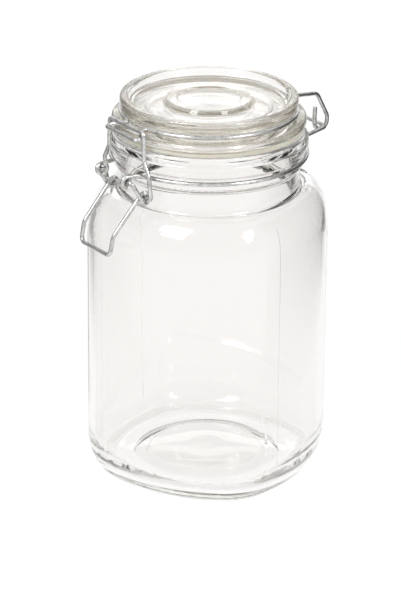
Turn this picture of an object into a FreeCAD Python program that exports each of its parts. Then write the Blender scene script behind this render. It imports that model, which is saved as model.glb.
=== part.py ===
"""Clip-top storage jar: moulded glass jar and lid, gasket, and a wire clip.

Millimetres. +Z is up, the origin is at the centre of the base, on the surface
that the jar stands on. The clip is at -Y and the lid's hinge at +Y.
"""
import FreeCAD
import Part
import math
import os

V = FreeCAD.Vector

# ---- glass jar: the body is a square with bulged sides and round corners ----
BODY_FLATS = 120.8          # across two opposite sides
CORNER_EXTRA = 8.0          # how much more it is across two opposite corners
BODY_CORNER_R = 34.0        # plan radius of the corners
BODY_TURN = 28.3            # plan angle of the first side's normal, degrees
WALL = 3.5                  # side wall
HEEL_IN = 12.1              # how far the heel curves in, at the base
HEEL_UP = 22.6              # height of the heel's curve
SHOULDER_Z = 156.2          # top of the shoulder's curve
SHOULDER_IN = 11.6
SHOULDER_DOWN = 21.8
BASE_THICK = 6.0            # glass over the bearing ring
INNER_HEEL_IN = 12.4        # the same two curves inside the jar
INNER_HEEL_UP = 19.0
INNER_SHOULDER_DOWN = 20.0
SHOULDER_THICK = 2.9
PUSH_UP_R = 38.0            # hollow under the base
PUSH_UP_TOP_R = 30.0
PUSH_UP = 3.6
PUSH_UP_ROUND = 8.0
DOME_R = 43.5               # gently raised floor inside
DOME_TOP_R = 16.0
DOME_H = 3.4
DOME_ROUND = 120.0
END_SHARE = 1.2             # height of a body end's block to its curve, before it is trimmed

# ---- wire: one gauge for the whole clip ----
WIRE_D = 2.25
WIRE_PLAY = 0.15            # between a wire and the glass that it lies in
EYE_PLAY = 0.22             # round a pin in its ear or coil
WIRE_R = WIRE_D / 2
PIN_LOOP_R = WIRE_D + EYE_PLAY          # centreline of an ear or a coil

# ---- neck of the jar ----
NECK_R = 47.2
NECK_WALL = 4.2
NECK_FOOT = 3.2             # how far the neck's foot spreads over the shoulder
NECK_LAND = 0.1             # flat outside the foot's curve
NECK_SINK = 0.5             # how far the foot is sunk into the shoulder
SEAT_R = NECK_R + 2.2       # glass behind the neck wire
BEAD_R = SEAT_R + 2.0       # bead over the neck wire
LIP_R = SEAT_R - 0.1
NECK_BORE_R = NECK_R - NECK_WALL
NECK_WIRE_Z = SHOULDER_Z + 18.5
SEAT_LOW_Z = NECK_WIRE_Z - 4.3
BEAD_LOW_Z = NECK_WIRE_Z + WIRE_R + 0.85
BEAD_TOP_Z = BEAD_LOW_Z + 7.6
LIP_Z = BEAD_TOP_Z + 3.2    # top of the jar's mouth
NECK_RING_R = SEAT_R + WIRE_PLAY + WIRE_R

# ---- glass lid ----
PLUG_R = NECK_BORE_R - 3.0  # ring under the lid that enters the neck
PLUG_WALL = 5.0
PLUG_DEPTH = 7.4
PLUG_DRAFT = 0.8
FLANGE_R = LIP_R + 0.7
FLANGE_H = 4.0
GROOVE_R = FLANGE_R - 5.9   # bottom of the groove for the lid wire
RIM_R = GROOVE_R + 1.8      # bead round the top of the lid
RIM_INNER_R = RIM_R - 4.2
DISH_R = RIM_INNER_R - 1.9
DISH_DEPTH = 4.2            # from the rim down to the dish
BOSS_R = 22.6               # raised disc in the middle
BOSS_RECESS_R = 17.0
BOSS_H = 2.6
BOSS_RECESS = 0.9
LID_WEB = 5.4               # glass under the dish

# ---- gasket ----
GASKET_GAP = 0.2            # under and over the gasket
GASKET_H = 2.8
GASKET_R = LIP_R - 0.7
GASKET_PLUG_GAP = 0.4

FLANGE_Z = LIP_Z + 2 * GASKET_GAP + GASKET_H
FLANGE_TOP_Z = FLANGE_Z + FLANGE_H
LID_WIRE_Z = FLANGE_TOP_Z + WIRE_R + 1.65
RIM_Z = LID_WIRE_Z + WIRE_R + 6.75
LID_RING_R = GROOVE_R + WIRE_PLAY + WIRE_R

# ---- clip: ears on the neck wire, lever, bail ----
EAR_X = 10.8                # mid-plane of each ear
EAR_Y = -NECK_RING_R - 8.4
EAR_Z = NECK_WIRE_Z - 1.1
EAR_LEAVE = EAR_X + 6.2     # x at which the wire leaves the neck
COIL_Y = EAR_Y + 9.0
COIL_Z = EAR_Z - 10.1
LEG_X = EAR_X + WIRE_D + 0.1            # plane of the lever's legs
ARM_X = LEG_X + WIRE_D + 0.3            # plane of the lever's arms
LEVER_KNEE_Y = EAR_Y - 9.5
LEVER_KNEE_Z = EAR_Z - 27.2
LEVER_TIP_X = LEG_X - 0.4
LEVER_TIP_Y = EAR_Y - 11.5
LEVER_TIP_Z = EAR_Z - 37.3
LEVER_PIN_X = EAR_X - WIRE_D - 0.1      # inner end of the lever's pins
BAIL_LOW_X = ARM_X + WIRE_D + 1.7       # bail legs beside the coils
BAIL_JOG_LOW_Z = COIL_Z + 12.7
BAIL_JOG_TOP_Z = COIL_Z + 20.3
BAIL_LEG_X = LEG_X + WIRE_D - 0.05
BAIL_LEG_Y = -BEAD_R + 0.1  # bail legs where they pass the neck
BAIL_BAR_X = BAIL_LEG_X - 0.2
BAIL_BAR_Y = -LID_RING_R - 5.7
BAIL_BAR_Z = LID_WIRE_Z + WIRE_D - 1.35
BAIL_PIN_X = LEG_X - 2 * WIRE_D         # inner end of the bail's pins
TAB_X = BAIL_LEG_X          # half length of the lid wire's tab
TAB_Y = -LID_RING_R - 9.2
TAB_DROP = WIRE_D + 0.4     # tab's bar under the wire's ring
TAB_ROOT_X = TAB_X - 9.1    # where the tab's sides leave the groove
TAB_ROOT = 14.0             # degrees from the middle to the end of the ring

# ---- hinge: a hook of the lid wire round a bar of the neck wire ----
HINGE_Y = NECK_RING_R + 15.7
HINGE_Z = NECK_WIRE_Z + 3.2
HINGE_PLAY = 0.3            # between the bar and the bottom of the hook
HOOK_R = 4.2
HOOK_X = 8.0                # plane of the hook
HOOK_END_Z = HINGE_Z + 10.3
HOOK_LEAN = 0.4
LID_LEG_Y = HINGE_Y - 2.8   # corner of the leg that comes down to the hook
LID_LEG_Z = LID_WIRE_Z - 2.1
LID_LEG_LOW_Z = HINGE_Z + 4.1
LID_LEAVE = 75.0            # plan angle at which the leg leaves the lid
LID_WIRE_END = 98.0         # plan angle of the wire's other end
BAR_X = 12.8                # half length of the neck wire's bar
BAR_LEAVE = 72.0            # plan angle at which the bar's legs leave the neck

TINY = 1e-5                 # shorter runs of an outline or a wire are left out


# ---------------------------------------------------------------- body shape
class BodyPlan:
    """Closed outlines of four side arcs and four corner arcs, all tangent."""

    def __init__(self, half, corner, corner_r):
        self.centre = (corner - corner_r) / math.sqrt(2)
        gap = self.centre - half
        self.side_r = ((corner_r ** 2 - self.centre ** 2 - gap ** 2)
                       / (2 * (gap + corner_r)))
        self.shift = self.side_r - half
        self.spread = math.atan2(self.centre, self.centre + self.shift)
        self.drop = self.side_r - corner_r

    def outline(self, half, z):
        """Outline at height z with its sides half away from the axis."""
        side_r = half + self.shift
        corner_r = side_r - self.drop
        edges = []
        for quarter in range(4):
            turn = math.radians(BODY_TURN) + quarter * math.pi / 2
            edges.append(plan_arc(-self.shift, 0, side_r, -self.spread, self.spread, turn, z))
            edges.append(plan_arc(self.centre, self.centre, corner_r, self.spread,
                                  math.pi / 2 - self.spread, turn, z))
        return Part.Wire(edges)


def plan_arc(x, y, radius, start, end, turn, z):
    """Arc about (x, y) in the plan, turned about the jar's axis."""
    points = []
    for angle in (start, (start + end) / 2, end):
        reach_x = x + radius * math.cos(angle)
        reach_y = y + radius * math.sin(angle)
        points.append(V(reach_x * math.cos(turn) - reach_y * math.sin(turn),
                        reach_x * math.sin(turn) + reach_y * math.cos(turn), z))
    return Part.Arc(*points).toShape()


def body_solid(plan, half, heel_z, heel, shoulder_z, shoulder):
    """Body under the neck, as one closed solid.

    heel and shoulder are the two (inward, upward) half axes of their curves.
    """
    low = rounded_end(plan, half, heel)
    low.translate(V(0, 0, heel_z))
    high = rounded_end(plan, half, shoulder).mirror(V(0, 0, 0), V(0, 0, 1))
    high.translate(V(0, 0, shoulder_z))
    wall_z = heel_z + heel[1]
    wall_h = shoulder_z - shoulder[1] - wall_z
    wall = Part.Face(plan.outline(half, wall_z)).extrude(V(0, 0, wall_h))
    return wall.fuse([low, high])


def rounded_end(plan, half, curve):
    """End of the body whose lower edge is a quarter of an ellipse all round."""
    inward, upward = curve
    block = Part.Face(plan.outline(half, 0)).extrude(V(0, 0, inward * END_SHARE))
    rim = [edge for edge in block.Edges if edge.BoundBox.ZMax < TINY]
    stretch = FreeCAD.Matrix()
    stretch.scale(V(1, 1, upward / inward))
    block = block.makeFillet(inward, rim).transformGeometry(stretch)
    trim = Part.makeBox(4 * half, 4 * half, upward, V(-2 * half, -2 * half, 0))
    return plane_end(block).common(trim)


def plane_end(block):
    """The same block, with an exact plane for its flat face at z = 0."""
    flat = [face for face in block.Faces if face.BoundBox.ZMax < TINY]
    others = [face for face in block.Faces if face.BoundBox.ZMax >= TINY]
    plane = Part.Face(Part.Plane(V(0, 0, 0), V(0, 0, 1)), flat[0].OuterWire)
    plane.reverse()
    return Part.Solid(Part.Shell(others + [plane]))


# ------------------------------------------------------------ turned profiles
def revolve(outline):
    """Solid of revolution of a closed outline of (radius, height, fillet)."""
    corners = [V(r, 0, z) for r, z, _ in outline]
    edges = []
    here = None
    first_point = None
    for index, corner in enumerate(corners):
        before = corners[index - 1]
        after = corners[(index + 1) % len(corners)]
        fillet = outline[index][2]
        if fillet:
            start, middle, end = fillet_points(before, corner, after, fillet)
        else:
            start = middle = end = corner
        if here is None:
            first_point = start
        elif here.distanceToPoint(start) > TINY:
            edges.append(Part.LineSegment(here, start).toShape())
        if fillet:
            edges.append(Part.Arc(start, middle, end).toShape())
        here = end
    if here.distanceToPoint(first_point) > TINY:
        edges.append(Part.LineSegment(here, first_point).toShape())
    return Part.Face(Part.Wire(edges)).revolve(V(0, 0, 0), V(0, 0, 1), 360)


def fillet_points(before, corner, after, radius):
    """First, middle and last point of a fillet at a corner."""
    back = (before - corner).normalize()
    on = (after - corner).normalize()
    half = back.getAngle(on) / 2
    length = radius / math.tan(half)
    centre_way = (back + on).normalize()
    centre = corner + centre_way * (radius / math.sin(half))
    return corner + back * length, centre - centre_way * radius, corner + on * length


# -------------------------------------------------------------------- wires
def bent_wire(route):
    """Round wire along straight runs that are joined by tangent bends.

    route is a list of (point, bend radius); its two ends have no bend.
    """
    points = [point for point, _ in route]
    edges = []
    here = points[0]
    for index in range(1, len(points) - 1):
        start, middle, end = fillet_points(points[index - 1], points[index],
                                           points[index + 1], route[index][1])
        if here.distanceToPoint(start) > TINY:
            edges.append(Part.LineSegment(here, start).toShape())
        edges.append(Part.Arc(start, middle, end).toShape())
        here = end
    if here.distanceToPoint(points[-1]) > TINY:
        edges.append(Part.LineSegment(here, points[-1]).toShape())
    section = Part.Wire(Part.makeCircle(WIRE_R, points[0], points[1] - points[0]))
    return Part.Wire(edges).makePipeShell([section], True, True)


def ring_route(radius, z, start, end, count):
    """Corners of a ring round the jar's axis, from start to end in degrees."""
    step = math.radians(end - start) / count
    reach = radius / math.cos(step / 2)
    route = []
    for index in range(count):
        angle = math.radians(start) + step * (index + 0.5)
        route.append((V(reach * math.cos(angle), reach * math.sin(angle), z), radius))
    return route


def loop_route(y, z, start, end, from_x, to_x, count):
    """Corners of a loop round a pin along X, from start to end in degrees."""
    step = math.radians(end - start) / count
    reach = PIN_LOOP_R / math.cos(step / 2)
    route = []
    for index in range(count):
        share = (index + 0.5) / count
        angle = math.radians(start) + step * (index + 0.5)
        route.append((V(from_x + (to_x - from_x) * share, y + reach * math.cos(angle),
                        z + reach * math.sin(angle)), PIN_LOOP_R))
    return route


def tangent_meets(radius, angle, x):
    """y where the tangent to a ring, at a plan angle, crosses the plane of x."""
    angle = math.radians(angle)
    return (radius - x * math.cos(angle)) / math.sin(angle)


def touch_angle(from_y, from_z, y, z, side):
    """Angle at which a line from a point touches a loop's circle, in degrees."""
    swing = math.degrees(math.acos(PIN_LOOP_R / math.hypot(from_y - y, from_z - z)))
    return math.degrees(math.atan2(from_z - z, from_y - y)) + side * swing


def both_sides(route):
    """Adds the mirror image of a route in front of it."""
    return [(V(-point.x, point.y, point.z), bend) for point, bend in reversed(route)] + route


# --------------------------------------------------------------------- pieces
def make_jar():
    plan = BodyPlan(BODY_FLATS / 2, (BODY_FLATS + CORNER_EXTRA) / 2, BODY_CORNER_R)
    outer = body_solid(plan, BODY_FLATS / 2, 0, (HEEL_IN, HEEL_UP),
                       SHOULDER_Z, (SHOULDER_IN, SHOULDER_DOWN))
    inner_z = SHOULDER_Z - SHOULDER_THICK
    inner = body_solid(plan, BODY_FLATS / 2 - WALL, BASE_THICK, (INNER_HEEL_IN, INNER_HEEL_UP),
                       inner_z, (SHOULDER_IN, INNER_SHOULDER_DOWN))
    foot_z = SHOULDER_Z - NECK_SINK
    neck = revolve([
        (0, foot_z - 1, 0), (NECK_R + NECK_FOOT, foot_z - 1, 0),
        (NECK_R + NECK_FOOT, foot_z, 0), (NECK_R, foot_z, NECK_FOOT - NECK_LAND),
        (NECK_R, SEAT_LOW_Z - 2.2, 3.0),
        (SEAT_R, SEAT_LOW_Z, 1.2), (SEAT_R, BEAD_LOW_Z, 0.5), (BEAD_R, BEAD_LOW_Z + 0.8, 1.1),
        (BEAD_R, BEAD_TOP_Z - 1.0, 1.4), (LIP_R, BEAD_TOP_Z + 0.8, 0.8),
        (LIP_R, LIP_Z, 1.3), (0, LIP_Z, 0)])
    bore = revolve([
        (0, inner_z - NECK_SINK, 0), (NECK_BORE_R, inner_z - NECK_SINK, 0),
        (NECK_BORE_R, LIP_Z - 2.0, 3.0), (NECK_BORE_R + 2.6, LIP_Z + 1.0, 0),
        (0, LIP_Z + 1.0, 0)])
    hollow = revolve([
        (0, -1, 0), (PUSH_UP_R, -1, 0), (PUSH_UP_R, 0, 0),
        (PUSH_UP_TOP_R, PUSH_UP, PUSH_UP_ROUND), (0, PUSH_UP, 0)])
    dome_z = BASE_THICK + DOME_H
    dome = revolve([
        (0, BASE_THICK - 1, 0), (DOME_R, BASE_THICK - 1, 0), (DOME_R, BASE_THICK, 0),
        (DOME_TOP_R, dome_z, DOME_ROUND), (0, dome_z, 0)])
    return outer.fuse(neck).cut(inner.fuse(bore).cut(dome)).cut(hollow)


def make_gasket():
    low = LIP_Z + GASKET_GAP
    inner = PLUG_R + GASKET_PLUG_GAP
    return revolve([(inner, low, 0.4), (GASKET_R, low, 0.7),
                    (GASKET_R, low + GASKET_H, 0.7), (inner, low + GASKET_H, 0.4)])


def make_lid():
    dish_z = RIM_Z - DISH_DEPTH
    groove_half = WIRE_R + WIRE_PLAY
    ceiling_z = dish_z - LID_WEB
    plug_z = FLANGE_Z - PLUG_DEPTH
    plug_inner_r = PLUG_R - PLUG_WALL
    return revolve([
        (0, ceiling_z, 0), (plug_inner_r - 2.0, ceiling_z, 3.0), (plug_inner_r, plug_z, 1.5),
        (PLUG_R - PLUG_DRAFT, plug_z, 1.5), (PLUG_R, FLANGE_Z, 0.3), (FLANGE_R, FLANGE_Z, 1.2),
        (FLANGE_R, FLANGE_TOP_Z, 1.4), (GROOVE_R, LID_WIRE_Z - groove_half - 0.3, 0.8),
        (GROOVE_R, LID_WIRE_Z + groove_half, 0.8), (RIM_R, LID_WIRE_Z + groove_half + 1.9, 1.2),
        (RIM_R, RIM_Z, 1.7), (RIM_INNER_R, RIM_Z, 1.5), (DISH_R, dish_z, 2.4),
        (BOSS_R + 0.8, dish_z, 0.9), (BOSS_R - 0.8, dish_z + BOSS_H, 0.9),
        (BOSS_RECESS_R, dish_z + BOSS_H, 0.6), (BOSS_RECESS_R - 1.2, dish_z + BOSS_H - BOSS_RECESS, 0.8),
        (0, dish_z + BOSS_H - BOSS_RECESS, 0)])


def make_neck_wire():
    """Ring round the neck, with an ear at each front end and a bar behind."""
    bar = [(V(BAR_X, HINGE_Y, HINGE_Z), 2.4),
           (V(BAR_X, tangent_meets(NECK_RING_R, BAR_LEAVE, BAR_X), NECK_WIRE_Z), 3.0)]
    leave = -math.degrees(math.acos(EAR_LEAVE / NECK_RING_R))
    ring = ring_route(NECK_RING_R, NECK_WIRE_Z, BAR_LEAVE, leave, 6)
    outer_x = EAR_X + WIRE_R + 0.1
    inner_x = EAR_X - WIRE_R - 0.1
    ear = [(V(EAR_LEAVE - 1.2, -NECK_RING_R + 2.2, NECK_WIRE_Z), 3.0),
           (V(outer_x + 0.4, EAR_Y + 4.0, EAR_Z + PIN_LOOP_R), 3.0)]
    ear += loop_route(EAR_Y, EAR_Z, 90, 390, outer_x, inner_x, 4)
    ear.append((V(inner_x, EAR_Y + 1.2, EAR_Z + 3.2), 0))
    return bent_wire(both_sides(bar + ring + ear))


def make_lid_wire():
    """Ring in the lid's groove, with a tab in front and a hook behind."""
    hook_z = HINGE_Z - WIRE_D - HINGE_PLAY + HOOK_R
    hook = [
        (V(HOOK_X, HINGE_Y - HOOK_R + HOOK_LEAN, HOOK_END_Z), 0),
        (V(HOOK_X, HINGE_Y - HOOK_R, hook_z - HOOK_R), HOOK_R * 0.98),
        (V(HOOK_X, HINGE_Y + HOOK_R, hook_z - HOOK_R), HOOK_R * 0.98),
        (V(HOOK_X, HINGE_Y + HOOK_R, LID_LEG_LOW_Z), 4.0),
        (V(HOOK_X, LID_LEG_Y, LID_LEG_Z), 4.0),
        (V(HOOK_X, tangent_meets(LID_RING_R, LID_LEAVE, HOOK_X), LID_WIRE_Z), 3.0)]
    root_y = -tangent_meets(LID_RING_R, 90 - TAB_ROOT, TAB_ROOT_X)
    tab_z = LID_WIRE_Z - TAB_DROP
    tab = [(V(TAB_ROOT_X, root_y, LID_WIRE_Z), 1.8), (V(TAB_X, TAB_Y, tab_z), 1.6),
           (V(-TAB_X, TAB_Y, tab_z), 1.6), (V(-TAB_ROOT_X, root_y, LID_WIRE_Z), 1.8)]
    right = ring_route(LID_RING_R, LID_WIRE_Z, LID_LEAVE, -90 + TAB_ROOT, 6)
    left = ring_route(LID_RING_R, LID_WIRE_Z, -90 - TAB_ROOT, LID_WIRE_END - 360, 6)
    last = math.radians(LID_WIRE_END)
    end = [(V(LID_RING_R * math.cos(last), LID_RING_R * math.sin(last), LID_WIRE_Z), 0)]
    return bent_wire(hook + right + tab + left + end)


def make_lever():
    """Handle, a coil on each side for the bail, and arms with pins in the ears."""
    leave = touch_angle(LEVER_KNEE_Y, LEVER_KNEE_Z, COIL_Y, COIL_Z, -1)
    arrive = touch_angle(EAR_Y, EAR_Z, COIL_Y, COIL_Z, 1)
    coil = loop_route(COIL_Y, COIL_Z, leave + 360, arrive - 360, LEG_X, ARM_X, 5)
    return bent_wire(both_sides(
        [(V(LEVER_TIP_X, LEVER_TIP_Y, LEVER_TIP_Z), 3.0),
         (V(LEG_X, LEVER_KNEE_Y, LEVER_KNEE_Z), 8.0)]
        + coil
        + [(V(ARM_X, EAR_Y, EAR_Z), 2.2), (V(LEVER_PIN_X, EAR_Y, EAR_Z), 0)]))


def make_bail():
    """Loop over the lid wire's tab, with pins in the lever's coils."""
    return bent_wire(both_sides([
        (V(BAIL_BAR_X, BAIL_BAR_Y, BAIL_BAR_Z), 1.8),
        (V(BAIL_LEG_X, BAIL_LEG_Y, BAIL_JOG_TOP_Z), 4.0),
        (V(BAIL_LOW_X, BAIL_LEG_Y, BAIL_JOG_LOW_Z), 4.0),
        (V(BAIL_LOW_X, COIL_Y, COIL_Z), 2.2),
        (V(BAIL_PIN_X, COIL_Y, COIL_Z), 0)]))


PIECES = {
    "jar": make_jar,
    "neck_wire": make_neck_wire,
    "lid": make_lid,
    "gasket": make_gasket,
    "lid_wire": make_lid_wire,
    "lever": make_lever,
    "bail": make_bail,
}

os.makedirs("parts", exist_ok=True)
for name, make in PIECES.items():
    make().exportStep("parts/" + name + ".step")
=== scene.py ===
import math

import bmesh
import bpy
from mathutils import Matrix, Vector
from mathutils.bvhtree import BVHTree


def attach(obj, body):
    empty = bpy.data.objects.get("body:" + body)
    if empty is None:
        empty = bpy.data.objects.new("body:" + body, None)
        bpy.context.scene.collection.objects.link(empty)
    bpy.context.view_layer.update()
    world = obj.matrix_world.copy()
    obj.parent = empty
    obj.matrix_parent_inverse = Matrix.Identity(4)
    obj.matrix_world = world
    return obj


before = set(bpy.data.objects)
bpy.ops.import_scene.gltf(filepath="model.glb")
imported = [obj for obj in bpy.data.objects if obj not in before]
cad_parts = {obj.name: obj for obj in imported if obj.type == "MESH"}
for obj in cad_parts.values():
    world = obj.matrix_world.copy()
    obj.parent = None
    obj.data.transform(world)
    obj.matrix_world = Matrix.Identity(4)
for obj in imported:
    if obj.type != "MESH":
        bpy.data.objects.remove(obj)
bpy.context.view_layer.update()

# ---- camera: where it stands, seen from the jar ----
CAMERA_AZIMUTH = 324.0       # degrees, plan angle of the camera round the jar
CAMERA_DISTANCE = 1.5312
CAMERA_HEIGHT = 0.7335
CAMERA_PITCH = 22.773        # degrees down
CAMERA_ROLL = 0.438
CAMERA_SIDE = -0.00365       # to the right of the line to the jar's axis
CAMERA_LENS = 126.4          # for a frame 24 mm high
FRAME_HEIGHT = 24.0

# ---- moulded detail of the jar ----
DOT_ROWS = (0.0009, 0.0018, 0.0030)     # heights of the rows of dots round the heel
DOTS_IN_ROW = 150
DOT_R = 0.00055
DOT_RISE = 0.00016
REACH = 0.2                  # start of a ray that looks for the jar's skin, from the axis
SEAM_ANGLES = (0.0, 180.0)   # plan angles of the two mould seams
SEAM_LOW = 0.012
SEAM_HIGH = 0.150
SEAM_STEPS = 40
SEAM_R = 0.00010
SEAM_PROFILE = ((-1, -1), (-0.7, 0.5), (0, 0.9), (0.7, 0.5), (1, -1))   # across and out, in SEAM_R

# ---- studio ----
BACKDROP = 1.0               # what camera, mirrored and refracted rays find
ROOM_LIGHT = 0.55            # what lights matt surfaces
FLOOR_GLOW = 1.10
FLOOR_SHARE = 0.86           # share of the glow in the floor's look; the rest takes shadows
FLOOR_PAPER = 0.8
FLOOR_SIZE = 6.0
CARD_SIDE = 0.16             # cards beside the jar, from its axis
CARD_BACK = 0.06             # and past it, as the camera sees
CARD_HEIGHT = 0.36
CARD_WIDTH = 0.36
CARD_FADE = 0.11             # width of the cards' soft edges
CARD_SHADES = {"card_left": (-1, 0.40), "card_right": (1, 0.12)}    # side, middle's brightness
LAMP_AIM = 0.1               # height on the jar's axis that the lamps point at
SOFTBOXES = {                # right of the jar, toward the camera, height, width, tall, watts
    "key": (-0.9, 0.9, 1.3, 0.5, 0.7, 12),
    "fill": (0.9, 0.9, 1.1, 0.4, 0.6, 7),
    "back": (0.0, -3.0, 1.19, 3.0, 0.4, 4.4)}
GLASS_BOUNCES = 20


# ------------------------------------------------------------------ materials
class Nodes:
    """The node tree of a material or a world, with short calls to add and join nodes."""

    def __init__(self, owner, output):
        owner.use_nodes = True
        self.owner = owner
        self.tree = owner.node_tree
        self.tree.nodes.clear()
        self.output = self.add(output)

    def add(self, kind, inputs=None, **settings):
        """A new node with these settings and these input values."""
        node = self.tree.nodes.new("ShaderNode" + kind)
        for name, value in settings.items():
            setattr(node, name, value)
        for name, value in (inputs or {}).items():
            node.inputs[name].default_value = value
        return node

    def join(self, source, target):
        self.tree.links.new(source, target)

    def maximum(self, one, other):
        """The larger of two outputs."""
        node = self.add("Math", operation="MAXIMUM")
        self.join(one, node.inputs[0])
        self.join(other, node.inputs[1])
        return node.outputs[0]

    def noise(self, coords, scale, detail, roughness=0.55):
        node = self.add("TexNoise", {"Scale": scale, "Detail": detail, "Roughness": roughness})
        self.join(coords, node.inputs["Vector"])
        return node.outputs["Fac"]

    def ramp(self, factor, *stops):
        node = self.add("ValToRGB")
        elements = node.color_ramp.elements
        while len(elements) < len(stops):
            elements.new(0.5)
        for element, (place, colour) in zip(elements, stops):
            element.position = place
            element.color = (*colour, 1)
        self.join(factor, node.inputs["Fac"])
        return node.outputs["Color"]

    def bump(self, height, strength, distance, under=None):
        """A bump of this height, over another bump's normal if there is one."""
        node = self.add("Bump", {"Strength": strength, "Distance": distance})
        self.join(height, node.inputs["Height"])
        if under:
            self.join(under, node.inputs["Normal"])
        return node.outputs["Normal"]

    def surface(self, shader, **joined):
        """Joins outputs to a shader's inputs, named with _ for a space, and the shader to the output."""
        for name, source in joined.items():
            self.join(source, shader.inputs[name.replace("_", " ")])
        self.join(shader.outputs[0], self.output.inputs["Surface"])
        return self.owner


def material_nodes(name):
    return Nodes(bpy.data.materials.new(name), "OutputMaterial")


def glass_material(name, tint, absorb, density, ripple, roughness):
    """Clear pressed glass: faint colour in its depth, slightly wavy skin."""
    m = material_nodes(name)
    coords = m.add("TexCoord").outputs["Object"]
    shader = m.add("BsdfPrincipled", {"Base Color": (*tint, 1), "Roughness": roughness,
                                      "IOR": 1.5, "Transmission Weight": 1.0})
    waves = m.bump(m.noise(coords, 34.0, 2.0, 0.45), ripple, 0.0006)
    skin = m.bump(m.noise(coords, 260.0, 2.0), 0.02, 0.0002, waves)
    depth = m.add("VolumeAbsorption", {"Color": (*absorb, 1), "Density": density})
    m.join(depth.outputs["Volume"], m.output.inputs["Volume"])
    return m.surface(shader, Normal=skin)


def wire_material():
    """Zinc-plated drawn wire: bright grey, blotched, with a finely spotted skin."""
    m = material_nodes("zinc_wire")
    coords = m.add("TexCoord").outputs["Object"]
    spots = m.noise(coords, 1500.0, 3.0)
    colour = m.ramp(m.noise(coords, 420.0, 4.0, 0.6), (0.3, (0.40, 0.40, 0.39)),
                    (0.5, (0.62, 0.62, 0.61)), (0.75, (0.82, 0.82, 0.81)))
    rough = m.add("MapRange", {"To Min": 0.12, "To Max": 0.34})
    m.join(spots, rough.inputs["Value"])
    shader = m.add("BsdfPrincipled", {"Metallic": 1.0})
    return m.surface(shader, Base_Color=colour, Roughness=rough.outputs["Result"],
                     Normal=m.bump(spots, 0.25, 0.0001))


def gasket_material():
    """Pale natural rubber: cream, a little mottled, with a soft sheen."""
    m = material_nodes("natural_rubber")
    coords = m.add("TexCoord").outputs["Object"]
    colour = m.ramp(m.noise(coords, 90.0, 4.0), (0.3, (0.80, 0.75, 0.62)),
                    (0.7, (0.90, 0.86, 0.76)))
    shader = m.add("BsdfPrincipled", {"Roughness": 0.42, "Subsurface Weight": 0.35,
                                      "Subsurface Scale": 0.004})
    return m.surface(shader, Base_Color=colour,
                     Normal=m.bump(m.noise(coords, 1100.0, 2.0), 0.2, 0.0001))


def sees_backdrop(m):
    """1 for a ray that should find the white background: seen, mirrored or refracted."""
    path = m.add("LightPath").outputs
    seen = m.maximum(path["Is Camera Ray"], path["Is Glossy Ray"])
    return m.maximum(seen, path["Is Transmission Ray"])


def floor_material():
    """White floor that still takes the jar's shadow."""
    m = material_nodes("studio_floor")
    paper = m.add("BsdfDiffuse", {"Color": (FLOOR_PAPER, FLOOR_PAPER, FLOOR_PAPER, 1)})
    glow = m.add("Emission", {"Strength": FLOOR_GLOW})
    share = m.add("Math", {1: FLOOR_SHARE}, operation="MULTIPLY")
    m.join(sees_backdrop(m), share.inputs[0])
    mix = m.add("MixShader")
    m.join(share.outputs[0], mix.inputs["Fac"])
    m.join(paper.outputs["BSDF"], mix.inputs[1])
    m.join(glow.outputs["Emission"], mix.inputs[2])
    return m.surface(mix)


def card_material(name, shade):
    """Grey card beside the jar that draws the glass's edges, fading to white at its rim."""
    m = material_nodes(name)
    place = m.add("SeparateXYZ")
    m.join(m.add("TexCoord").outputs["Object"], place.inputs["Vector"])
    fades = []
    for axis, half in (("X", CARD_WIDTH / 2), ("Y", CARD_HEIGHT / 2)):
        off_middle = m.add("Math", operation="ABSOLUTE")
        m.join(place.outputs[axis], off_middle.inputs[0])
        fade = m.add("MapRange", {"From Min": half - CARD_FADE, "From Max": half},
                     interpolation_type="SMOOTHSTEP")
        m.join(off_middle.outputs[0], fade.inputs["Value"])
        fades.append(fade.outputs["Result"])
    colour = m.ramp(m.maximum(*fades), (0.0, (shade, shade, shade)), (1.0, (1.0, 1.0, 1.0)))
    return m.surface(m.add("Emission"), Color=colour)


# --------------------------------------------------------------------- pieces
def dress(name, material):
    """Gives a CAD node its material."""
    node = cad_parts[name]
    node.data.materials.clear()
    node.data.materials.append(material)


def studio():
    """White all round for rays that find the background, and softer light for the rest."""
    world = bpy.data.worlds.new("studio")
    m = Nodes(world, "OutputWorld")
    dim = m.add("Background", {"Strength": ROOM_LIGHT})
    white = m.add("Background", {"Strength": BACKDROP})
    mix = m.add("MixShader")
    m.join(sees_backdrop(m), mix.inputs["Fac"])
    m.join(dim.outputs[0], mix.inputs[1])
    m.join(white.outputs[0], mix.inputs[2])
    m.surface(mix)
    bpy.context.scene.world = world


def quad(name, size_x, size_y, place, facing, material):
    """Flat rectangle of the studio, that is no part of the jar."""
    mesh = bpy.data.meshes.new(name)
    half_x, half_y = size_x / 2, size_y / 2
    mesh.from_pydata([(-half_x, -half_y, 0), (half_x, -half_y, 0), (half_x, half_y, 0),
                      (-half_x, half_y, 0)], [], [(0, 1, 2, 3)])
    mesh.materials.append(material)
    card = bpy.data.objects.new(name, mesh)
    card.location = place
    card.rotation_euler = Vector(facing).to_track_quat("Z", "Y").to_euler()
    bpy.context.scene.collection.objects.link(card)
    return card


def view_directions():
    """Horizontal directions from the camera: into the picture, and to its right."""
    angle = math.radians(CAMERA_AZIMUTH)
    into = Vector((-math.cos(angle), -math.sin(angle), 0))
    right = Vector((-math.sin(angle), math.cos(angle), 0))
    return into, right


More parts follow.
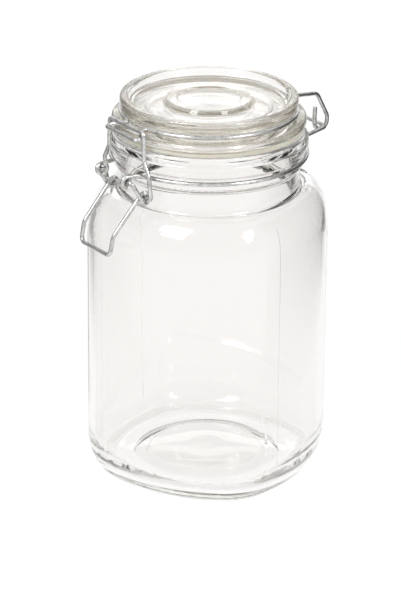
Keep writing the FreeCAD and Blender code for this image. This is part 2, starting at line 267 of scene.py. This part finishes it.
def camera():
    """Camera at its stated place, turned down and then rolled."""
    into, right = view_directions()
    up = Vector((0, 0, 1))
    pitch, roll = math.radians(CAMERA_PITCH), math.radians(CAMERA_ROLL)
    forward = into * math.cos(pitch) - up * math.sin(pitch)
    over = right.cross(forward)
    turned_right = right * math.cos(roll) + over * math.sin(roll)
    turned_up = over * math.cos(roll) - right * math.sin(roll)
    data = bpy.data.cameras.new("camera")
    data.lens = CAMERA_LENS
    data.sensor_fit = "VERTICAL"
    data.sensor_height = FRAME_HEIGHT
    data.clip_end = 50
    cam = bpy.data.objects.new("camera", data)
    place = right * CAMERA_SIDE - into * CAMERA_DISTANCE + up * CAMERA_HEIGHT
    cam.matrix_world = Matrix((
        (turned_right.x, turned_up.x, -forward.x, place.x),
        (turned_right.y, turned_up.y, -forward.y, place.y),
        (turned_right.z, turned_up.z, -forward.z, place.z), (0, 0, 0, 1)))
    bpy.context.scene.collection.objects.link(cam)
    bpy.context.scene.camera = cam


def softbox(name, side, toward, height, width, tall, power):
    """Area lamp placed from the camera's directions and aimed at the jar."""
    into, right = view_directions()
    place = right * side - into * toward + Vector((0, 0, height))
    data = bpy.data.lights.new(name, "AREA")
    data.shape = "RECTANGLE"
    data.size = width
    data.size_y = tall
    data.energy = power
    lamp = bpy.data.objects.new(name, data)
    lamp.location = place
    aim = Vector((0, 0, LAMP_AIM)) - place
    lamp.rotation_euler = aim.to_track_quat("-Z", "Y").to_euler()
    bpy.context.scene.collection.objects.link(lamp)


def side_cards():
    """Grey cards that stand on both sides; only glass and metal see them."""
    into, right = view_directions()
    for name, (side, shade) in CARD_SHADES.items():
        place = right * side * CARD_SIDE + into * CARD_BACK + Vector((0, 0, CARD_HEIGHT / 2))
        piece = quad(name, CARD_WIDTH, CARD_HEIGHT, place, -side * right,
                     card_material(name, shade))
        piece.visible_camera = False
        piece.visible_diffuse = False
        piece.visible_shadow = False


def skin_of(name):
    """The outer skin of a CAD node, for finding points on it."""
    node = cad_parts[name]
    return BVHTree.FromPolygons([v.co for v in node.data.vertices],
                                [p.vertices for p in node.data.polygons])


def skin_point(skin, angle, height):
    """Where the skin is at this plan angle and height, its normal, and the way out."""
    out = Vector((math.cos(angle), math.sin(angle), 0))
    place, normal, _, _ = skin.ray_cast(out * REACH + Vector((0, 0, height)), -out)
    return place, normal, out


def glass_dots(material):
    """Rows of small raised dots round the jar's heel."""
    skin = skin_of("jar")
    mesh = bmesh.new()
    for row, height in enumerate(DOT_ROWS):
        for index in range(DOTS_IN_ROW):
            angle = 2 * math.pi * (index + 0.5 * (row % 2)) / DOTS_IN_ROW
            place, normal, _ = skin_point(skin, angle, height)
            turn = normal.to_track_quat("Z", "Y").to_matrix().to_4x4()
            size = Matrix.Diagonal((DOT_R, DOT_R, DOT_RISE, 1))
            bmesh.ops.create_icosphere(mesh, subdivisions=2, radius=1,
                                       matrix=Matrix.Translation(place) @ turn @ size)
    for face in mesh.faces:
        face.smooth = True
    finish_piece(mesh, "base_dots", material)


def mould_seams(material):
    """The fine raised line that the two halves of the mould leave on each side."""
    skin = skin_of("jar")
    mesh = bmesh.new()
    for seam in SEAM_ANGLES:
        rings = []
        for step in range(SEAM_STEPS + 1):
            height = SEAM_LOW + (SEAM_HIGH - SEAM_LOW) * step / SEAM_STEPS
            place, normal, out = skin_point(skin, math.radians(seam), height)
            across = Vector((-out.y, out.x, 0))
            rings.append([mesh.verts.new(place + across * side * SEAM_R + normal * rise * SEAM_R)
                          for side, rise in SEAM_PROFILE])
        for low, high in zip(rings, rings[1:]):
            for index in range(len(low)):
                after = (index + 1) % len(low)
                mesh.faces.new((low[index], low[after], high[after], high[index]))
        mesh.faces.new(list(reversed(rings[0])))
        mesh.faces.new(rings[-1])
    finish_piece(mesh, "mould_seams", material)


def finish_piece(mesh, name, material):
    """Turns built geometry into a piece of the jar's glass."""
    bmesh.ops.recalc_face_normals(mesh, faces=mesh.faces)
    data = bpy.data.meshes.new(name)
    mesh.to_mesh(data)
    mesh.free()
    data.materials.append(material)
    piece = bpy.data.objects.new(name, data)
    bpy.context.scene.collection.objects.link(piece)
    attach(piece, "jar_body")


studio()
camera()
quad("floor", FLOOR_SIZE, FLOOR_SIZE, (0, 0, 0), (0, 0, 1), floor_material())
for lamp_name, lamp_values in SOFTBOXES.items():
    softbox(lamp_name, *lamp_values)
side_cards()

body_glass = glass_material("jar_glass", tint=(0.965, 0.953, 0.944), absorb=(0.62, 0.62, 0.57),
                            density=7.0, ripple=0.10, roughness=0.02)
lid_glass = glass_material("lid_glass", tint=(0.998, 0.992, 0.980), absorb=(0.58, 0.53, 0.38),
                           density=9.0, ripple=0.35, roughness=0.06)
wire = wire_material()
rubber = gasket_material()
dress("jar", body_glass)
dress("lid", lid_glass)
dress("gasket", rubber)
glass_dots(body_glass)
mould_seams(body_glass)
for wire_node in ("neck_wire", "lid_wire", "lever", "bail"):
    dress(wire_node, wire)

bpy.context.scene.view_settings.view_transform = "Standard"
bpy.context.scene.cycles.max_bounces = GLASS_BOUNCES
bpy.context.scene.cycles.glossy_bounces = GLASS_BOUNCES
bpy.context.scene.cycles.transmission_bounces = GLASS_BOUNCES
